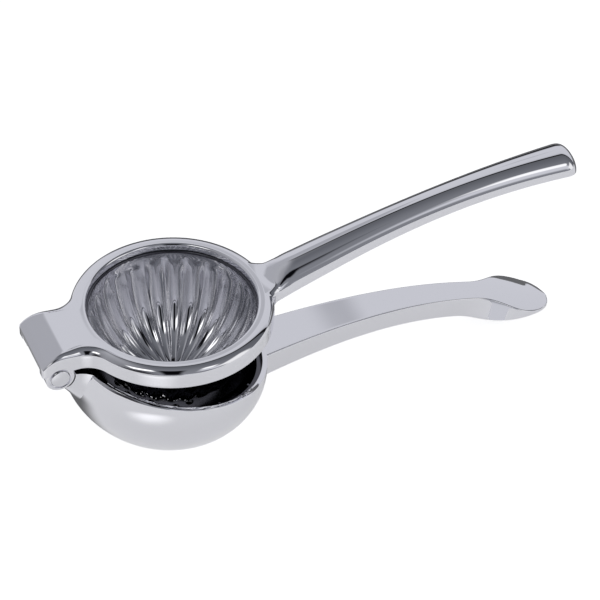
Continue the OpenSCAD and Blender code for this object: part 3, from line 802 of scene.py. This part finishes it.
def make_bowl_handle():
    """The lower handle: a channel that opens into a spatula, fitted to the bowl's side."""
    s = sizes()
    tip_round, above = 0.87, 12
    tip = tip_round + (1 - tip_round) * np.sin(np.radians(np.linspace(0, 90, 24)[1:]))
    ts = np.concatenate([np.linspace(0, tip_round, 100), tip])
    handle = solid("bowl_handle_body", [skin([bowl_handle_row(s, t) for t in ts], caps=True)], lower)
    carve(handle, "DIFFERENCE",
          solid("cut", [about_bowl([(0, above)] + bowl_curve(s, -0.02, above))], lower))
    finished(handle, mirror_polished_stainless, "bowl_lever", "bowl_handle")


# ---------------------------------------------------------------- hinge

def make_hinge():
    """The pin with its flat head, and the collar that locks its far end."""
    s = sizes()
    # Head and collar stand a little proud of the ears
    w, proud, chamfer = s.half_w, 0.3, 0.3
    head = button(s.head_r - 0.4, -w - proud, -w + s.head_t - proud, chamfer)
    pin = solid("hinge_pin_body", [rod(s.pin_r, -w + 0.5, w + proud, chamfer), head], upper)
    finished(pin, turned_stainless, "press_lever", "hinge_pin")
    ring = button(s.head_r - 0.1, w + proud, w - s.head_t + proud, chamfer)
    collar = solid("pin_collar_body", [ring], upper)
    carve(collar, "DIFFERENCE", solid("cut", [rod(s.pin_r, w - s.head_t, w + 1)], upper))
    finished(collar, turned_stainless, "press_lever", "pin_collar")


def dress_packed_pieces():
    """Gives the knuckle and the washers, which stay as packed, their turned steel."""
    for name in ("hinge_knuckle", "spacer_washers"):
        for slot in frame["nodes"][name].material_slots:
            slot.material = finish_of(turned_stainless)


# ---------------------------------------------------------------- studio

# The camera's angles and its aim, as a pinhole camera fitted to the photo gave them
AZIMUTH, ELEVATION, ROLL = math.radians(-21.33), math.radians(43.234), math.radians(-2.044)
AIM, DISTANCE, LENS = Vector((0.020852, -0.070968, 0.108384)), 0.9, 167.71

# Polished steel shows nothing but what stands round it, so the studio is a function of direction.
# Its walls go from the camera (-1) over the zenith (0) to the far side (1), in sRGB hex.
WALL_LEFT = [(-1, "56575B"), (-0.5, "8E8F94"), (0.0, "A6A7AC"), (0.2, "B4B5BA"), (0.5, "B0B1B7"),
             (0.65, "C4C5CB"), (0.75, "D6D7DD"), (0.955, "D6D7DD"), (0.98, "2A2A2E"), (1, "1E1E22")]
WALL_RIGHT = [(-1, "8A8C92"), (-0.5, "808288"), (0.0, "6C6E74"), (0.29, "626469"), (0.32, "161618"),
              (0.385, "101012"), (0.415, "C0C1C7"), (0.5, "D4D5DB"), (0.955, "D8D9DF"),
              (0.98, "2A2A2E"), (1, "1E1E22")]
# Panels in front of the walls, each over the ones before it. Their edges are degrees from the
# zenith to the camera's right and towards the camera: left, right, far, near, then the softness
# of the edges in degrees, the sRGB hex and the strength.
PANELS = {
    "dim corner low on the left": (-90, -28, 53, 88, 7, "38383C", 1.0),
    "pale card for the upper handle's flank": (30, 60, 38, 60, 5, "D8D9DF", 1.0),
    "window for the bowl and the ring's shoulder": (-38, -14, 29, 43, 3, "FFFFFF", 1.8),
    "small lamp on the right": (28, 42, 28, 42, 3, "FFFFFF", 1.2),
    "white card on the right": (54, 92, 8, 50, 5, "FFFFFF", 1.0),
    "dark gap round the camera": (-9, 12, 28, 78, 4, "0A0A0E", 1.0),
    "grey panel behind, for the hood": (-60, -9, -44.5, -28, 2, "B2B3B9", 1.0),
    "grey strip behind, for the ring's flat top": (0.5, 6, -50.5, -46, 2, "BCBDC3", 1.0),
    "pale strip at the horizon, for the spatula": (17, 45, 79, 100, 4, "D4D5DB", 1.0),
}


def make_studio():
    """World light: two pale walls that meet over the object, panels, and white for the camera."""
    world = bpy.data.worlds.new("studio")
    world.use_nodes = True
    tree = world.node_tree
    tree.nodes.clear()
    smooth = {"interpolation_type": "SMOOTHSTEP"}
    direction = add_node(tree, "ShaderNodeTexCoord").outputs["Generated"]
    # Shares of the direction to the camera's right, towards the camera, and up
    c, s = math.cos(AZIMUTH), math.sin(AZIMUTH)
    right, front, up = [add_node(tree, "ShaderNodeVectorMath", {"operation": "DOT_PRODUCT"},
                                 {0: direction, 1: axis}).outputs["Value"]
                        for axis in ((c, s, 0), (s, -c, 0), (0, 0, 1))]
    # The same direction on a flat chart, in radians from the zenith
    angle = add_node(tree, "ShaderNodeMath", {"operation": "ARCCOSINE"}, {0: up}).outputs[0]
    level = add_node(tree, "ShaderNodeMath", {"operation": "SINE"}, {0: angle}).outputs[0]
    level = add_node(tree, "ShaderNodeMath", {"operation": "MAXIMUM"}, {0: level, 1: 0.001}).outputs[0]
    stretch = add_node(tree, "ShaderNodeMath", {"operation": "DIVIDE"}, {0: angle, 1: level}).outputs[0]
    chart = [add_node(tree, "ShaderNodeMath", {"operation": "MULTIPLY"},
                      {0: share, 1: stretch}).outputs[0] for share in (right, front)]

    far = add_node(tree, "ShaderNodeMath", {"operation": "MULTIPLY_ADD"}, {0: front, 1: -0.5, 2: 0.5})
    walls = []
    for stops in (WALL_LEFT, WALL_RIGHT):
        ramp = add_node(tree, "ShaderNodeValToRGB", inputs={"Fac": far.outputs[0]})
        elements = ramp.color_ramp.elements
        while len(elements) < len(stops):
            elements.new(0.5)
        for element, (position, hexa) in zip(elements, stops):
            element.position, element.color = (position + 1) / 2, linear(hexa)
        walls.append(ramp.outputs["Color"])
    side = add_node(tree, "ShaderNodeMapRange", smooth,
                    {"Value": right, "From Min": -0.5, "From Max": -0.1})
    light = add_node(tree, "ShaderNodeMix", {"data_type": "RGBA"},
                     {SHARE: side.outputs["Result"], FIRST: walls[0], SECOND: walls[1]}).outputs[MIXED]

    for name, (x0, x1, y0, y1, soft, hexa, strength) in PANELS.items():
        edges = [add_node(tree, "ShaderNodeMapRange", smooth,
                          {"Value": place, "From Min": math.radians(edge - inward * soft),
                           "From Max": math.radians(edge + inward * soft)}).outputs["Result"]
                 for place, edge, inward in ((chart[0], x0, 1), (chart[0], x1, -1),
                                             (chart[1], y0, 1), (chart[1], y1, -1))]
        within = edges[0]
        for edge in edges[1:]:
            within = add_node(tree, "ShaderNodeMath", {"operation": "MULTIPLY"},
                              {0: within, 1: edge}).outputs[0]
        shine = [strength * share for share in linear(hexa)]
        light = add_node(tree, "ShaderNodeMix", {"data_type": "RGBA", "label": name},
                         {SHARE: within, FIRST: light, SECOND: shine}).outputs[MIXED]

    seen = add_node(tree, "ShaderNodeBackground", inputs={"Color": light, "Strength": 1.0})
    white = add_node(tree, "ShaderNodeBackground", inputs={"Color": (1, 1, 1, 1), "Strength": 1.0})
    path = add_node(tree, "ShaderNodeLightPath")
    either = add_node(tree, "ShaderNodeMixShader", inputs={0: path.outputs["Is Camera Ray"],
                                                           1: seen.outputs[0], 2: white.outputs[0]})
    add_node(tree, "ShaderNodeOutputWorld", inputs={"Surface": either.outputs[0]})
    bpy.context.scene.world = world


def rolled_matt_paint():
    """Pale matt emulsion, rolled on a studio floor until no roller mark shows."""
    # The eye gets an even white with the object's soft shadow. The steel sees a grey floor with a
    # painted pool of light in front of the bowl, and painted shade behind the squeezer, which gives
    # its outlines their thin dark edge.
    made = empty_material("rolled_matt_paint")
    tree = made.node_tree
    smooth = {"interpolation_type": "SMOOTHSTEP"}
    pool_middle, pool_r, pool_core = (-0.068, -0.098, 0), 0.05, 0.005
    # Light that the floor gives to the steel all over, in the painted pool of light and to the camera,
    # and how much of it the painted shade takes away
    all_over, in_pool, to_camera, taken = 0.42, 0.44, 0.78, 0.8
    place = add_node(tree, "ShaderNodeTexCoord").outputs["Object"]
    part = add_node(tree, "ShaderNodeSeparateXYZ", inputs={"Vector": place})
    path = add_node(tree, "ShaderNodeLightPath")
    glossy = path.outputs["Is Glossy Ray"]
    # Painted shade on the floor: only for the steel, and only behind the squeezer
    behind = add_node(tree, "ShaderNodeMapRange", smooth,
                      {"Value": part.outputs["Y"], "From Min": -0.012, "From Max": 0.012})
    beside = add_node(tree, "ShaderNodeMapRange", smooth,
                      {"Value": part.outputs["X"], "From Min": -0.09, "From Max": -0.06})
    shade = add_node(tree, "ShaderNodeMath", {"operation": "MULTIPLY"},
                     {0: behind.outputs["Result"], 1: beside.outputs["Result"]})
    shade = add_node(tree, "ShaderNodeMath", {"operation": "MULTIPLY"}, {0: shade.outputs[0], 1: glossy})
    dark = add_node(tree, "ShaderNodeMath", {"operation": "MULTIPLY"},
                    {0: shade.outputs[0], 1: taken}).outputs[0]
    away = add_node(tree, "ShaderNodeVectorMath", {"operation": "DISTANCE"}, {0: place, 1: pool_middle})
    pool = add_node(tree, "ShaderNodeMapRange", smooth,
                    {"Value": away.outputs["Value"], "From Min": pool_r, "From Max": pool_core})
    lit = add_node(tree, "ShaderNodeMath", {"operation": "MULTIPLY_ADD"},
                   {0: pool.outputs["Result"], 1: in_pool, 2: all_over})
    kept = add_node(tree, "ShaderNodeMath", {"operation": "SUBTRACT"}, {0: 1.0, 1: dark})
    for factor in (kept.outputs[0], glossy):
        lit = add_node(tree, "ShaderNodeMath", {"operation": "MULTIPLY"}, {0: lit.outputs[0], 1: factor})
    strength = add_node(tree, "ShaderNodeMath", {"operation": "MULTIPLY_ADD"},
                        {0: path.outputs["Is Camera Ray"], 1: to_camera, 2: lit.outputs[0]})
    # Under the painted shade the floor's own colour goes near black too, for the steel only
    tone = add_node(tree, "ShaderNodeMix", {"data_type": "RGBA"},
                    {SHARE: dark, FIRST: tuple(bpy.context.scene.squeezer_finish.floor),
                     SECOND: (0.02, 0.02, 0.02, 1)})
    paint = add_node(tree, "ShaderNodeBsdfDiffuse", inputs={"Color": tone.outputs[MIXED]})
    glow = add_node(tree, "ShaderNodeEmission",
                    inputs={"Color": (1, 1, 1, 1), "Strength": strength.outputs[0]})
    both = add_node(tree, "ShaderNodeAddShader", inputs={0: paint.outputs[0], 1: glow.outputs[0]})
    add_node(tree, "ShaderNodeOutputMaterial", inputs={"Surface": both.outputs[0]})
    return made


def make_floor():
    reach = 3.0
    mesh = bpy.data.meshes.new("floor")
    corners = [(x * reach, y * reach, 0) for x, y in ((-1, -1), (1, -1), (1, 1), (-1, 1))]
    mesh.from_pydata(corners, [], [(0, 1, 2, 3)])
    floor = bpy.data.objects.new("floor", mesh)
    bpy.context.scene.collection.objects.link(floor)
    mesh.materials.append(finish_of(rolled_matt_paint))


def make_camera():
    """Camera at the photo's angle."""
    a, e, r = AZIMUTH, ELEVATION, ROLL
    back = Vector((math.sin(a) * math.cos(e), -math.cos(a) * math.cos(e), math.sin(e)))
    right = Vector((math.cos(a), math.sin(a), 0))
    up = back.cross(right)
    rolled = (right * math.cos(r) + up * math.sin(r), up * math.cos(r) - right * math.sin(r), back)
    data = bpy.data.cameras.new("camera")
    data.lens, data.sensor_width, data.clip_start, data.clip_end = LENS, 36, 0.01, 20
    camera = bpy.data.objects.new("camera", data)
    camera.matrix_world = Matrix(rolled).transposed().to_4x4()
    camera.location = AIM + back * DISTANCE
    bpy.context.scene.collection.objects.link(camera)
    bpy.context.scene.camera = camera


# ---------------------------------------------------------------- operators and panel

class SQUEEZER_OT_press_ring(bpy.types.Operator):
    """Build the ring of the upper lever, with its neck, hood and ears"""
    bl_idname = "squeezer.press_ring"
    bl_label = "Press Ring"

    def execute(self, context):
        make_press_ring()
        return {"FINISHED"}


class SQUEEZER_OT_press_handle(bpy.types.Operator):
    """Build the handle of the upper lever"""
    bl_idname = "squeezer.press_handle"
    bl_label = "Press Handle"

    def execute(self, context):
        make_press_handle()
        return {"FINISHED"}


class SQUEEZER_OT_press_cup(bpy.types.Operator):
    """Build the fluted press cup"""
    bl_idname = "squeezer.press_cup"
    bl_label = "Press Cup"

    def execute(self, context):
        make_press_cup()
        return {"FINISHED"}


class SQUEEZER_OT_strainer_cup(bpy.types.Operator):
    """Build the perforated liner of the bowl, with its ribs"""
    bl_idname = "squeezer.strainer_cup"
    bl_label = "Strainer Cup"

    def execute(self, context):
        make_strainer_cup()
        return {"FINISHED"}


class SQUEEZER_OT_bowl(bpy.types.Operator):
    """Build the bowl and its neck"""
    bl_idname = "squeezer.bowl"
    bl_label = "Bowl"

    def execute(self, context):
        make_bowl_shell()
        return {"FINISHED"}


class SQUEEZER_OT_bowl_handle(bpy.types.Operator):
    """Build the handle of the lower lever"""
    bl_idname = "squeezer.bowl_handle"
    bl_label = "Bowl Handle"

    def execute(self, context):
        make_bowl_handle()
        return {"FINISHED"}


class SQUEEZER_OT_hinge(bpy.types.Operator):
    """Build the hinge pin and its collar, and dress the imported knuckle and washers"""
    bl_idname = "squeezer.hinge"
    bl_label = "Hinge"

    def execute(self, context):
        make_hinge()
        dress_packed_pieces()
        return {"FINISHED"}


class SQUEEZER_OT_stage(bpy.types.Operator):
    """Build the floor, the studio light and the camera"""
    bl_idname = "squeezer.stage"
    bl_label = "Stage"

    def execute(self, context):
        make_floor()
        make_studio()
        make_camera()
        context.scene.view_settings.view_transform = "Standard"
        return {"FINISHED"}


OPERATORS = (SQUEEZER_OT_press_ring, SQUEEZER_OT_press_handle, SQUEEZER_OT_press_cup,
             SQUEEZER_OT_strainer_cup, SQUEEZER_OT_bowl, SQUEEZER_OT_bowl_handle, SQUEEZER_OT_hinge,
             SQUEEZER_OT_stage)


class SQUEEZER_PT_panel(bpy.types.Panel):
    """Lists the squeezer's pieces in the order they are built, then their sizes and colours"""
    bl_idname = "SQUEEZER_PT_panel"
    bl_label = "Lemon Squeezer"
    bl_space_type = "VIEW_3D"
    bl_region_type = "UI"
    bl_category = "Squeezer"

    def draw(self, context):
        for cls in OPERATORS:
            self.layout.operator(cls.bl_idname)
        for group in (context.scene.squeezer_sizes, context.scene.squeezer_finish):
            for prop in own_settings(group):
                self.layout.prop(group, prop.identifier)


CLASSES = (SqueezerSizes, SqueezerFinish, *OPERATORS, SQUEEZER_PT_panel)


def register():
    for cls in CLASSES:
        bpy.utils.register_class(cls)
    bpy.types.Scene.squeezer_sizes = PointerProperty(type=SqueezerSizes)
    bpy.types.Scene.squeezer_finish = PointerProperty(type=SqueezerFinish)


def unregister():
    del bpy.types.Scene.squeezer_sizes
    del bpy.types.Scene.squeezer_finish
    for cls in reversed(CLASSES):
        bpy.utils.unregister_class(cls)


def main():
    register()
    bpy.ops.squeezer.press_ring()
    bpy.ops.squeezer.press_handle()
    bpy.ops.squeezer.press_cup()
    bpy.ops.squeezer.strainer_cup()
    bpy.ops.squeezer.bowl()
    bpy.ops.squeezer.bowl_handle()
    bpy.ops.squeezer.hinge()
    bpy.ops.squeezer.stage()


if __name__ == "__main__":
    main()
